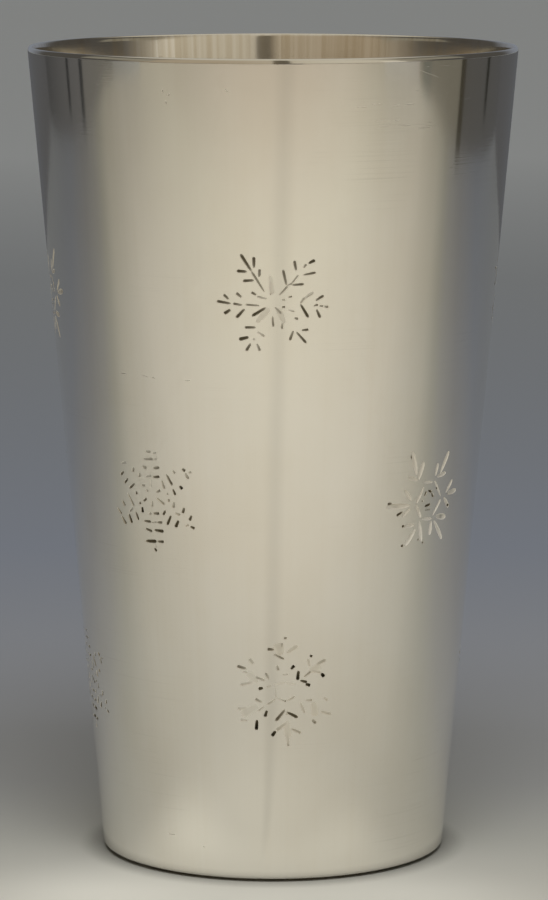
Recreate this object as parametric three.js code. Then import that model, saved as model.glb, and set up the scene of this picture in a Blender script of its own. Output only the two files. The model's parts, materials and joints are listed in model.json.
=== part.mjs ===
// A tall, tapered drinking tumbler of polished silver, made up from sheet and wire.
// The wall is a tapered ring of sheet. A rounded wire finishes the mouth, a domed disc is let in as
// the bottom, and a foot wire under it carries the tumbler and keeps the wall's edge off the table.
// Fillets of hard solder hold the base in.
// Millimetres, +Z up. The origin is the centre of the circle on which the tumbler stands.

import * as THREE from "three";

// Whole tumbler
const height = 136.4;
const mouthDiameter = 82; // outside, at the widest line of the lip
const footDiameter = 58; // outside, at the wall's lower edge

// Wall
const wallGauge = 0.9; // thickness of the sheet, square to its surface
const wallLift = 0.4; // its lower edge above the table
const edgeRound = 0.6; // eases the outside corner of its lower edge

// Lip wire, flush with the wall on both sides
const lipRise = 0.9; // height of its rounded top
const lipSkirt = 0.8; // straight sides below the rounded top

// Base disc
const baseLift = 3.2; // underside of its flat edge above the table
const baseGauge = 1;
const baseDome = 1.4; // rise of the middle above the flat edge

// Foot wire
const footWireWidth = 2.4;
const footWireRound = 0.5; // eases both of its edges at the table

// Solder
const solderGap = 0.1; // room left for solder between the wall and what is let into it
const baseSolderLeg = 0.9;
const footSolderLeg = 0.7;
const flangeMargin = 0.5; // flat metal left between the solder and the start of the dome

// Fineness of the round forms
const turnSegments = 96;
const curveSteps = 5;

const quarterTurn = Math.PI / 2;
const halfTurn = Math.PI;

// Levels and radii that follow from the driving dimensions
const mouthRadius = mouthDiameter / 2;
const footRadius = footDiameter / 2;
const lipShoulder = height - lipRise; // level where the rounded top starts
const wallTop = lipShoulder - lipSkirt; // level seat for the lip wire
const baseTop = baseLift + baseGauge;
const taper = Math.atan2(mouthRadius - footRadius, lipShoulder - wallLift);
const wallAcross = wallGauge / Math.cos(taper); // thickness of the wall, measured level

function outsideRadius(level) {
  return footRadius + (level - wallLift) * Math.tan(taper);
}

function insideRadius(level) {
  return outsideRadius(level) - wallAcross;
}

// Edge of a piece let into the wall
function letInRadius(level) {
  return insideRadius(level) - solderGap;
}

const footBore = letInRadius(0) - footWireWidth;
const footSolderEdge = footBore - solderGap;
const solderLimit = Math.min(footSolderEdge - footSolderLeg, letInRadius(baseTop) - baseSolderLeg);
const domeEdge = solderLimit - flangeMargin;

function wallOutline() {
  const roundTop = wallLift + edgeRound;
  const outline = new THREE.Path();
  outline.moveTo(insideRadius(wallLift), wallLift);
  outline.lineTo(footRadius - edgeRound, wallLift);
  outline.quadraticCurveTo(footRadius, wallLift, outsideRadius(roundTop), roundTop);
  outline.lineTo(outsideRadius(wallTop), wallTop);
  outline.lineTo(insideRadius(wallTop), wallTop);
  outline.closePath();
  return outline;
}

// The wire sits on the wall's top edge and carries both faces on, and half an ellipse rounds it off
function lipOutline() {
  const halfAcross = wallAcross / 2;
  const middle = mouthRadius - halfAcross;
  const outline = new THREE.Path();
  outline.moveTo(insideRadius(wallTop), wallTop);
  outline.lineTo(outsideRadius(wallTop), wallTop);
  outline.absellipse(middle, lipShoulder, halfAcross, lipRise, 0, halfTurn, false);
  outline.closePath();
  return outline;
}

// A level flange for soldering, and a shallow dome inside it that keeps the middle off the table
function baseOutline() {
  const domeShoulder = domeEdge / 2;
  const outline = new THREE.Path();
  outline.moveTo(0, baseLift + baseDome);
  outline.quadraticCurveTo(domeShoulder, baseLift + baseDome, domeEdge, baseLift);
  outline.lineTo(letInRadius(baseLift), baseLift);
  outline.lineTo(letInRadius(baseTop), baseTop);
  outline.lineTo(domeEdge, baseTop);
  outline.quadraticCurveTo(domeShoulder, baseTop + baseDome, 0, baseTop + baseDome);
  return outline;
}

function footWireOutline() {
  const edge = letInRadius(0);
  const outline = new THREE.Path();
  outline.moveTo(footBore + footWireRound, 0);
  outline.lineTo(edge - footWireRound, 0);
  outline.quadraticCurveTo(edge, 0, letInRadius(footWireRound), footWireRound);
  outline.lineTo(letInRadius(baseLift), baseLift);
  outline.lineTo(footBore, baseLift);
  outline.lineTo(footBore, footWireRound);
  outline.quadraticCurveTo(footBore, 0, footBore + footWireRound, 0);
  return outline;
}

// Hollow fillet in the corner where the inside of the wall meets the base disc
function baseSolderOutline() {
  const corner = letInRadius(baseTop);
  const top = baseTop + baseSolderLeg;
  const outline = new THREE.Path();
  outline.moveTo(corner - baseSolderLeg, baseTop);
  outline.lineTo(corner, baseTop);
  outline.lineTo(letInRadius(top), top);
  outline.quadraticCurveTo(corner, baseTop, corner - baseSolderLeg, baseTop);
  return outline;
}

// Hollow fillet in the corner between the underside of the base disc and the foot wire
function footSolderOutline() {
  const outline = new THREE.Path();
  outline.moveTo(footSolderEdge, baseLift - footSolderLeg);
  outline.lineTo(footSolderEdge, baseLift);
  outline.lineTo(footSolderEdge - footSolderLeg, baseLift);
  outline.quadraticCurveTo(footSolderEdge, baseLift, footSolderEdge, baseLift - footSolderLeg);
  return outline;
}

const polishedSilver = { color: "#d8cdb4", metalness: 1, roughness: 0.1 };
const insideSilver = { color: "#cfc3a8", metalness: 1, roughness: 0.22 };
const footSilver = { color: "#c8bda6", metalness: 1, roughness: 0.3 };
const hardSolder = { color: "#c2b89f", metalness: 1, roughness: 0.34 };

// Turns an outline of radius against level about the tumbler's upright axis
function turnedPiece(name, outline, finish) {
  const solid = new THREE.LatheGeometry(outline.getPoints(curveSteps), turnSegments);
  solid.rotateX(quarterTurn); // a lathe turns about Y, and the tumbler stands along Z
  const piece = new THREE.Mesh(solid, new THREE.MeshStandardMaterial(finish));
  piece.name = name;
  return piece;
}

const tumbler = new THREE.Group();
tumbler.add(turnedPiece("body_wall", wallOutline(), polishedSilver));
tumbler.add(turnedPiece("lip_wire", lipOutline(), polishedSilver));
tumbler.add(turnedPiece("base_disc", baseOutline(), insideSilver));
tumbler.add(turnedPiece("foot_wire", footWireOutline(), footSilver));
tumbler.add(turnedPiece("base_solder", baseSolderOutline(), hardSolder));
tumbler.add(turnedPiece("foot_solder", footSolderOutline(), hardSolder));

export default tumbler;
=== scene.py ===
import json
import math
import random

import bmesh
import bpy
from mathutils import Matrix, Vector

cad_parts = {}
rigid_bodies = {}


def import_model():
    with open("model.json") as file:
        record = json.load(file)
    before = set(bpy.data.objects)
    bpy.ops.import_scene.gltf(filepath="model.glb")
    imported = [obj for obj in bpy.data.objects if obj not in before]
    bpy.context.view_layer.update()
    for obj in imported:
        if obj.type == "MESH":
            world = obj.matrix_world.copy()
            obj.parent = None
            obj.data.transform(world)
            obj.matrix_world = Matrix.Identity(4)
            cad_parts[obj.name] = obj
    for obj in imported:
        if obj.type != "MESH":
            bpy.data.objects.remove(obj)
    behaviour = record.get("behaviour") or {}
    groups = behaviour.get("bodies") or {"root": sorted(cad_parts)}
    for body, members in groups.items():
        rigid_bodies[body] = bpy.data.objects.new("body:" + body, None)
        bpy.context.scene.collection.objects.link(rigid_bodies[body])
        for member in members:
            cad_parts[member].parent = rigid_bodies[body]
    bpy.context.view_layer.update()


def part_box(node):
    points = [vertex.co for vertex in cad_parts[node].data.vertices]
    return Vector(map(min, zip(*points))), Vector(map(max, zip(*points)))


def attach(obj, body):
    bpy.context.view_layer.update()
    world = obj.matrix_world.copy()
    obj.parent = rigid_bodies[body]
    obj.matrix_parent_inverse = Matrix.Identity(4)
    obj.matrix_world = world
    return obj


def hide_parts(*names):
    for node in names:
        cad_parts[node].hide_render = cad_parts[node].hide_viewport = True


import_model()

mm = 0.001
fullTurn = math.tau
upright = Matrix.Rotation(math.pi / 2, 3, "X")  # stands a flat shape on its edge
mergeDistance = 1e-7
noiseMiddle = 0.5  # the value that noise lies about

# the camera stands in front of the tumbler and looks a little down into its mouth
camera = {
    "place": (0.000165, -0.72048, 0.174287),
    "pitch": 8.395,  # degrees below level
    "focalPixels": 4292.4,
    "imageHeight": 900,
    "sensor": 36,
    "clipStart": 0.01,
}


def makeCamera():
    data = bpy.data.cameras.new("camera")
    data.sensor_width = camera["sensor"]  # spans the longer side of the image, which is its height
    data.lens = camera["focalPixels"] / camera["imageHeight"] * camera["sensor"]
    data.clip_start = camera["clipStart"]
    stand = bpy.data.objects.new("camera", data)
    stand.location = camera["place"]
    stand.rotation_euler = (math.radians(90 - camera["pitch"]), 0, 0)
    bpy.context.collection.objects.link(stand)
    bpy.context.scene.camera = stand
    bpy.context.scene.view_settings.view_transform = "Standard"


makeCamera()
print("camera placed")


# adds a node, sets its options, and fills its sockets with values or links
def addNode(tree, kind, sockets=None, **options):
    node = tree.nodes.new(kind)
    for name, value in options.items():
        setattr(node, name, value)
    for name, value in (sockets or {}).items():
        if isinstance(value, bpy.types.NodeSocket):
            tree.links.new(value, node.inputs[name])
        else:
            node.inputs[name].default_value = value
    return node


def mathNode(tree, operation, first, second=0.0, third=0.0):
    return addNode(tree, "ShaderNodeMath", {0: first, 1: second, 2: third}, operation=operation).outputs[0]


def vectorNode(tree, operation, sockets):
    return addNode(tree, "ShaderNodeVectorMath", sockets, operation=operation).outputs


# stretches a value between two limits over 0 to 1, or two other values, with soft ends
def softStep(tree, value, low, high, start=0.0, end=1.0):
    sockets = {"Value": value, "From Min": low, "From Max": high, "To Min": start, "To Max": end}
    return addNode(tree, "ShaderNodeMapRange", sockets, interpolation_type="SMOOTHSTEP").outputs["Result"]


# the colours of a Mix node are its inputs 6 and 7 and its output 2
def mixColours(tree, share, first, second):
    return addNode(tree, "ShaderNodeMix", {0: share, 6: first, 7: second}, data_type="RGBA").outputs[2]


def objectPlace(tree):
    return addNode(tree, "ShaderNodeTexCoord").outputs["Object"]


# noise drawn out along some axes: sizes are the length of a blotch along X, Y and Z
def drawnNoise(tree, sizes, turn=(0, 0, 0), detail=3.0, roughness=0.55, place=None):
    turned = addNode(tree, "ShaderNodeMapping", {"Vector": place or objectPlace(tree), "Rotation": turn})
    scale = tuple(1 / size for size in sizes)
    scaled = addNode(tree, "ShaderNodeMapping", {"Vector": turned.outputs[0], "Scale": scale})
    sockets = {"Vector": scaled.outputs[0], "Scale": 1.0, "Detail": detail, "Roughness": roughness}
    return addNode(tree, "ShaderNodeTexNoise", sockets).outputs["Fac"]


# a node group with its named sockets, and the sockets of its own two ends
def startGroup(name, inputs, outputs):
    group = bpy.data.node_groups.new(name, "ShaderNodeTree")
    for sockets, way in ((inputs, "INPUT"), (outputs, "OUTPUT")):
        for label, kind in sockets.items():
            group.interface.new_socket(name=label, in_out=way, socket_type="NodeSocket" + kind)
    return group, group.nodes.new("NodeGroupInput").outputs, group.nodes.new("NodeGroupOutput").inputs


def useGroup(tree, group, sockets):
    return addNode(tree, "ShaderNodeGroup", sockets, node_tree=group).outputs


# patches and streaks of yellowed silver: size of a blotch along X, Y and Z, and where it starts and is full
yellowing = {
    "patches": (0.024, 0.024, 0.03),
    "broadStreaks": (0.005, 0.005, 1),
    "fineStreaks": (0.0009, 0.0009, 1),
    "streakCircle": 0.04,  # radius at which streaks are measured, about that of the cup
    "limits": (0.38, 0.66),
}


# the way out from the upright axis, on a circle as wide as the cup, so streaks run straight up the slope
def wayOut(tree):
    level = vectorNode(tree, "MULTIPLY", {0: objectPlace(tree), 1: (1, 1, 0)})[0]
    out = vectorNode(tree, "NORMALIZE", {0: level})[0]
    return vectorNode(tree, "SCALE", {0: out, "Scale": yellowing["streakCircle"]})[0]


# clean silver with warmer, duller patches and upright streaks where it has yellowed
def makeToneGroup():
    inputs = {"Clean": "Color", "Yellowed": "Color", "Amount": "Float", "Streaks": "Float"}
    outputs = {"Color": "Color", "Mask": "Float"}
    group, given, made = startGroup("silverTone", inputs, outputs)
    patches = drawnNoise(group, yellowing["patches"], detail=5)
    broad = drawnNoise(group, yellowing["broadStreaks"], detail=2, place=wayOut(group))
    fine = drawnNoise(group, yellowing["fineStreaks"], detail=2, place=wayOut(group))
    streaks = mathNode(group, "MULTIPLY", mathNode(group, "ADD", broad, fine), 0.5)
    blend = addNode(group, "ShaderNodeMix", {0: given["Streaks"], 2: patches, 3: streaks}).outputs[0]
    mask = mathNode(group, "MULTIPLY", softStep(group, blend, *yellowing["limits"]), given["Amount"])
    group.links.new(mask, made["Mask"])
    group.links.new(mixColours(group, mask, given["Clean"], given["Yellowed"]), made["Color"])
    return group


# marks of polishing and handling, with sizes and limits as above
polishing = {
    "lines": (0.03, 0.03, 0.00022),
    "lineLimits": (0.56, 0.72),  # of the lines that show dark
    "linePatches": (0.016, 0.016, 0.014),
    "linePatchLimits": (0.5, 0.68),
    "spotReach": (0.01, 0.003),  # distances at which the rubbed spot starts and is full
    "spotStrength": 1.5,
    "strays": [  # size, turn, limits, detail
        ((0.011, 0.011, 0.00016), (0.35, 0.2, 0), (0.74, 0.8), 1),
        ((0.00016, 0.012, 0.012), (0.1, 0.5, 0.7), (0.75, 0.81), 1),
        ((0.0011, 0.0011, 0.0004), (0, 0, 0), (0.8, 0.86), 0),  # nicks
    ],
}


# hair-fine polishing lines round the piece, closer in one rubbed spot, and stray scratches across it
def makeScratchGroup():
    inputs = {"Lines": "Float", "Strays": "Float", "Rubbed Spot": "Vector"}
    outputs = {"Height": "Float", "Mask": "Float", "Dark": "Float"}
    group, given, made = startGroup("polishScratches", inputs, outputs)
    lines = drawnNoise(group, polishing["lines"], detail=2)
    where = softStep(group, drawnNoise(group, polishing["linePatches"]), *polishing["linePatchLimits"])
    away = vectorNode(group, "DISTANCE", {0: objectPlace(group), 1: given["Rubbed Spot"]})["Value"]
    near = softStep(group, away, *polishing["spotReach"])
    where = mathNode(group, "MAXIMUM", where, mathNode(group, "MULTIPLY", near, polishing["spotStrength"]))
    dark = mathNode(group, "MULTIPLY", softStep(group, lines, *polishing["lineLimits"]), where)
    lines = mathNode(group, "MULTIPLY", mathNode(group, "SUBTRACT", lines, noiseMiddle), where)
    strays = 0.0
    for sizes, turn, limits, detail in polishing["strays"]:
        mark = softStep(group, drawnNoise(group, sizes, turn, detail), *limits)
        strays = mathNode(group, "MAXIMUM", strays, mark)
    strays = mathNode(group, "MULTIPLY", strays, given["Strays"])
    height = mathNode(group, "SUBTRACT", mathNode(group, "MULTIPLY", lines, given["Lines"]), strays)
    group.links.new(height, made["Height"])
    group.links.new(strays, made["Mask"])
    group.links.new(mathNode(group, "MULTIPLY", dark, given["Lines"]), made["Dark"])
    return group


toneGroup = makeToneGroup()
scratchGroup = makeScratchGroup()

polishedSilver = {
    "clean": (0.935, 0.91, 0.85, 1),
    "yellowed": (0.87, 0.82, 0.72, 1),
    "toneAmount": 0.5,
    "streaks": 0.3,
    "roughness": (0.07, 0.13),
    "lines": 0.6,
    "strays": 0.25,
    "rubbedSpot": (0.019, -0.035, 0.119),
    "bump": 0.03,
    "waviness": 0.004,
}
insideSilver = {
    "clean": (0.92, 0.88, 0.81, 1),
    "yellowed": (0.7, 0.61, 0.47, 1),
    "toneAmount": 0.75,
    "streaks": 0.85,
    "roughness": (0.11, 0.2),
    "lines": 0.8,
    "strays": 0.5,
    "rubbedSpot": (0, 0, 0.09),
    "bump": 0.05,
    "waviness": 0.01,
}
footSilver = {
    "clean": (0.82, 0.77, 0.67, 1),
    "yellowed": (0.55, 0.46, 0.33, 1),
    "toneAmount": 0.9,
    "streaks": 0.2,
    "roughness": (0.2, 0.36),
    "lines": 0.6,
    "strays": 1.0,
    "rubbedSpot": (0, 0, 0),
    "bump": 0.09,
    "waviness": 0.01,
}
hardSolder = {
    "clean": (0.76, 0.71, 0.6, 1),
    "yellowed": (0.5, 0.43, 0.31, 1),
    "toneAmount": 1.0,
    "streaks": 0.2,
    "roughness": (0.26, 0.42),
    "lines": 0.0,
    "strays": 0.3,
    "rubbedSpot": (0, 0, 0),
    "bump": 0.08,
    "waviness": 0.05,
}
# what all the finishes share
silver = {
    "lineShade": (0.3, 0.26, 0.2, 1),
    "lineShare": 0.16,  # of that shade in the darkest lines
    "strayHaze": 0.12,
    "waves": (0.018, 0.018, 0.05),
    "waveHeight": 0.02,
    "scratchDepth": 0.1 * mm,
}


def startMaterial(name):
    material = bpy.data.materials.new(name)
    material.use_nodes = True
    tree = material.node_tree
    shader = tree.nodes["Principled BSDF"]
    return material, tree, shader


def makeSilver(name, finish):
    material, tree, shader = startMaterial(name)
    shader.inputs["Metallic"].default_value = 1
    tone = useGroup(tree, toneGroup, {
        "Clean": finish["clean"],
        "Yellowed": finish["yellowed"],
        "Amount": finish["toneAmount"],
        "Streaks": finish["streaks"],
    })
    scratches = useGroup(tree, scratchGroup, {
        "Lines": finish["lines"],
        "Strays": finish["strays"],
        "Rubbed Spot": finish["rubbedSpot"],
    })
    shade = mathNode(tree, "MULTIPLY", scratches["Dark"], silver["lineShare"])
    tree.links.new(mixColours(tree, shade, tone["Color"], silver["lineShade"]), shader.inputs["Base Color"])
    smooth, dull = finish["roughness"]
    haze = mathNode(tree, "MULTIPLY_ADD", tone["Mask"], dull - smooth, smooth)
    haze = mathNode(tree, "ADD", haze, mathNode(tree, "MULTIPLY", scratches["Mask"], silver["strayHaze"]))
    tree.links.new(haze, shader.inputs["Roughness"])
    wavy = addNode(tree, "ShaderNodeBump", {
        "Strength": finish["waviness"],
        "Distance": silver["waveHeight"],
        "Height": drawnNoise(tree, silver["waves"], detail=2),
    })
    scored = addNode(tree, "ShaderNodeBump", {
        "Strength": finish["bump"],
        "Distance": silver["scratchDepth"],
        "Height": scratches["Height"],
        "Normal": wavy.outputs[0],
    })
    tree.links.new(scored.outputs[0], shader.inputs["Normal"])
    return material


polishedMaterial = makeSilver("polishedSilver", polishedSilver)
insideMaterial = makeSilver("insideSilver", insideSilver)
footMaterial = makeSilver("footSilver", footSilver)
solderMaterial = makeSilver("hardSolder", hardSolder)
print("silver finishes made")

# lines of the wall, from the frame and the foot's diameter
wall = {
    "footDiameter": 58 * mm,  # across its lower edge
    "gauge": 0.9 * mm,
    "edgeRound": 0.6 * mm,
    "roundSteps": 6,
    "turnSteps": 720,
    "sharpAngle": 28,  # degrees between faces past which an edge stays crisp
    "insideFrom": 0.9,  # share of the wall's thickness past which a face counts as the inside
}
lip = {
    "rise": 0.9 * mm,  # height of the rounded top
    "crown": 0.951 * mm,  # half the height of its leaning ellipse
    "sink": 0.048 * mm,  # how far that ellipse sits below the shoulder, so its widest line is the mouth's
    "arcPoints": 48,
    "turnSteps": 720,
    "facingIn": -0.8,  # how squarely a face looks at the axis to count as the inside
}
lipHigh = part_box("lip_wire")[1]
wallLow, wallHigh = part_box("body_wall")
footRadius = wall["footDiameter"] / 2
mouthRadius = lipHigh.x
lipShoulder = lipHigh.z - lip["rise"]
wallTop = wallHigh.z
wallSlope = (mouthRadius - footRadius) / (lipShoulder - wallLow.z)
wallAngle = math.atan(wallSlope)
wallAcross = wall["gauge"] / math.cos(wallAngle)
onCone = 0.005 * mm  # a corner this close to the wall's outer slope lies on it

# slots of the materials on the wall and lip: 0 is the outside, then the inside, darkened and bright cuts
insideSlot, darkSlot, brightSlot = 1, 2, 3


def outsideRadius(level):
    return footRadius + (level - wallLow.z) * wallSlope


def insideRadius(level):
    return outsideRadius(level) - wallAcross


# a closed outline of radius against level, with some corners rounded, in the X-Z plane
def drawOutline(corners, rounds):
    bm = bmesh.new()
    verts = [bm.verts.new((radius, 0, level)) for radius, level in corners]
    bm.faces.new(verts)
    for corner, size, steps in rounds:
        bmesh.ops.bevel(bm, geom=[verts[corner]], offset=size, offset_type="OFFSET", affect="VERTICES",
                        segments=steps, profile=0.5, material=-1)
    bmesh.ops.delete(bm, geom=bm.faces[:], context="FACES_ONLY")
    return bm


# turns an outline about the upright axis
def turnOutline(bm, steps):
    bmesh.ops.spin(bm, geom=bm.verts[:] + bm.edges[:], cent=(0, 0, 0), axis=(0, 0, 1), angle=fullTurn,
                   steps=steps, use_merge=True)
    bmesh.ops.remove_doubles(bm, verts=bm.verts[:], dist=mergeDistance)
    bmesh.ops.recalc_face_normals(bm, faces=bm.faces[:])
    for face in bm.faces:
        face.smooth = True


def addObject(name, bm, materials):
    mesh = bpy.data.meshes.new(name)
    bm.to_mesh(mesh)
    bm.free()
    for material in materials:
        mesh.materials.append(material)
    thing = bpy.data.objects.new(name, mesh)
    bpy.context.collection.objects.link(thing)
    return thing


def dressPiece(piece, node, sharpAngle=30):
    piece.data.set_sharp_from_angle(angle=math.radians(sharpAngle))
    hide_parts(node)
    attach(piece, "root")
    print(piece.name, "made,", len(piece.data.polygons), "faces")


# half an ellipse that runs on from both faces of the wall, on a straight skirt
def makeLip():
    half = wall["gauge"] / 2
    level = lipShoulder - lip["sink"]
    middle = Vector((insideRadius(level) + wallAcross / 2, 0, level))
    lean = Matrix.Rotation(wallAngle, 3, "Y")
    bm = bmesh.new()
    bmesh.ops.create_circle(bm, segments=lip["arcPoints"], radius=half)
    bmesh.ops.rotate(bm, verts=bm.verts[:], matrix=upright)
    bmesh.ops.scale(bm, verts=bm.verts[:], vec=(1, 1, lip["crown"] / half))
    bmesh.ops.rotate(bm, verts=bm.verts[:], matrix=lean)
    bmesh.ops.translate(bm, verts=bm.verts[:], vec=middle)
    bmesh.ops.bisect_plane(bm, geom=bm.verts[:] + bm.edges[:], dist=mergeDistance / 10, plane_co=middle,
                           plane_no=lean @ Vector((0, 0, 1)), clear_inner=True)
    ends = [vert for vert in bm.verts if len(vert.link_edges) == 1]
    innerEnd, outerEnd = sorted(ends, key=lambda vert: vert.co.x)
    innerSeat = bm.verts.new((insideRadius(wallTop), 0, wallTop))
    outerSeat = bm.verts.new((outsideRadius(wallTop), 0, wallTop))
    for pair in ((innerEnd, innerSeat), (innerSeat, outerSeat), (outerSeat, outerEnd)):
        bm.edges.new(pair)
    turnOutline(bm, lip["turnSteps"])
    for face in bm.faces:
        spot = face.calc_center_median()
        if face.normal.dot(Vector((spot.x, spot.y, 0)).normalized()) < lip["facingIn"]:
            face.material_index = insideSlot
    return addObject("lipWire", bm, [polishedMaterial, insideMaterial])


# gives the mirror side of the wall and lip the true slope of their cone at every corner
def trueConeNormals(mesh):
    keep = Vector((0, 0, 0))
    normals = [keep] * len(mesh.loops)
    flat, drop = math.cos(wallAngle), -math.sin(wallAngle)
    for face in mesh.polygons:
        if face.material_index != 0:
            continue
        for loop in face.loop_indices:
            spot = mesh.vertices[mesh.loops[loop].vertex_index].co
            out = Vector((spot.x, spot.y, 0))
            if abs(out.length - outsideRadius(spot.z)) < onCone:
                out.normalize()
                normals[loop] = Vector((out.x * flat, out.y * flat, drop))
    mesh.normals_split_custom_set(normals)


lipWire = makeLip()
dressPiece(lipWire, "lip_wire")
trueConeNormals(lipWire.data)

# the base is let in above the table, domed a little, and stands on the foot wire
base = {
    "gauge": 1 * mm,
    "flangeMargin": 0.5 * mm,  # flat metal between the solder and the dome
    "domePoints": 14,
    "turnSteps": 240,
}
foot = {
    "width": 2.4 * mm,
    "round": 0.5 * mm,
    "roundSteps": 6,
    "turnSteps": 240,
}
solder = {
    "curvePoints": 8,
    "turnSteps": 240,
}
baseLow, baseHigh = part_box("base_disc")
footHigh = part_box("foot_wire")[1]
baseSolderLow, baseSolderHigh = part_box("base_solder")
footSolderLow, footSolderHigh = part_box("foot_solder")
letInGap = insideRadius(footHigh.z) - footHigh.x  # room for solder between the wall and the let-in pieces


def letInRadius(level):
    return insideRadius(level) - letInGap


# points on the soft curve between two ends that leaves each of them towards a corner
def curvePoints(start, corner, end, count):
    points = []
    for step in range(count + 1):
        t = step / count
        shares = (1 - t) ** 2, 2 * (1 - t) * t, t ** 2
        points.append(tuple(sum(a * b for a, b in zip(shares, axis)) for axis in zip(start, corner, end)))
    return points


def makeBase():
    rim = baseHigh.x
    flatTop = baseLow.z + base["gauge"]
    dome = baseHigh.z - flatTop
    solderLeg = footSolderHigh.z - footSolderLow.z
    domeEdge = footSolderHigh.x - solderLeg - base["flangeMargin"]
    shares = [step / base["domePoints"] for step in range(base["domePoints"] + 1)]
    levels = [(domeEdge * share, 1 - share ** 2) for share in shares]
    under = [(radius, baseLow.z + share * dome) for radius, share in levels]
    over = [(radius, flatTop + share * dome) for radius, share in reversed(levels)]
    bm = bmesh.new()
    corners = under + [(letInRadius(baseLow.z), baseLow.z), (rim, flatTop)] + over
    verts = [bm.verts.new((radius, 0, level)) for radius, level in corners]
    for pair in zip(verts, verts[1:]):
        bm.edges.new(pair)
    turnOutline(bm, base["turnSteps"])
    return addObject("baseDisc", bm, [insideMaterial])


baseDisc = makeBase()
dressPiece(baseDisc, "base_disc")


def makeFoot():
    bore = letInRadius(0) - foot["width"]
    top = footHigh.z
    corners = [(bore, 0), (letInRadius(0), 0), (letInRadius(top), top), (bore, top)]
    bm = drawOutline(corners, [(corner, foot["round"], foot["roundSteps"]) for corner in (0, 1)])
    turnOutline(bm, foot["turnSteps"])
    return addObject("footWire", bm, [footMaterial])


footWire = makeFoot()
dressPiece(footWire, "foot_wire")


def makeFillet(name, outer, corner, inner):
    bm = bmesh.new()
    points = [corner] + curvePoints(outer, corner, inner, solder["curvePoints"])
    verts = [bm.verts.new((radius, 0, level)) for radius, level in points]
    for number, vert in enumerate(verts):
        bm.edges.new((verts[number - 1], vert))
    turnOutline(bm, solder["turnSteps"])
    return addObject(name, bm, [solderMaterial])


baseSolder = makeFillet(
    "baseSolder",
    (baseSolderHigh.x, baseSolderHigh.z),
    (letInRadius(baseSolderLow.z), baseSolderLow.z),
    (letInRadius(baseSolderLow.z) - (baseSolderHigh.z - baseSolderLow.z), baseSolderLow.z),
)
dressPiece(baseSolder, "base_solder")
footSolder = makeFillet(
    "footSolder",
    (footSolderHigh.x, footSolderLow.z),
    (footSolderHigh.x, footSolderHigh.z),
    (footSolderHigh.x - (footSolderHigh.z - footSolderLow.z), footSolderHigh.z),
)
dressPiece(footSolder, "foot_solder")

# strokes of the graver: how wide each is along its length, and its depth as a share of half its width
graver = {
    "line": {
        "shape": ((0, 0), (0.04, 0.5), (0.18, 0.8), (0.5, 0.92), (0.85, 1), (0.96, 0.65), (1, 0)),
        "depth": 0.62,
        "slot": darkSlot,
    },
    "scoop": {
        "shape": ((0, 0), (0.08, 0.5), (0.3, 0.85), (0.6, 1), (0.86, 0.86), (0.96, 0.5), (1, 0)),
        "depth": 0.42,
        "slot": brightSlot,
    },
    "scratch": {
        "shape": ((0, 0), (0.15, 0.7), (0.5, 1), (0.85, 0.7), (1, 0)),
        "depth": 0.55,
        "slot": darkSlot,
    },
}
engraving = {
    "sides": 6,  # of the cut, with one of them flat at the bottom
    "lift": 0.012 * mm,  # keeps the broadest line of a cut just off the surface
    "shake": 0.05 * mm,  # wander of the hand
    "unevenWidth": (0.94, 1.06),
    "seed": 7,
}

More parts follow.
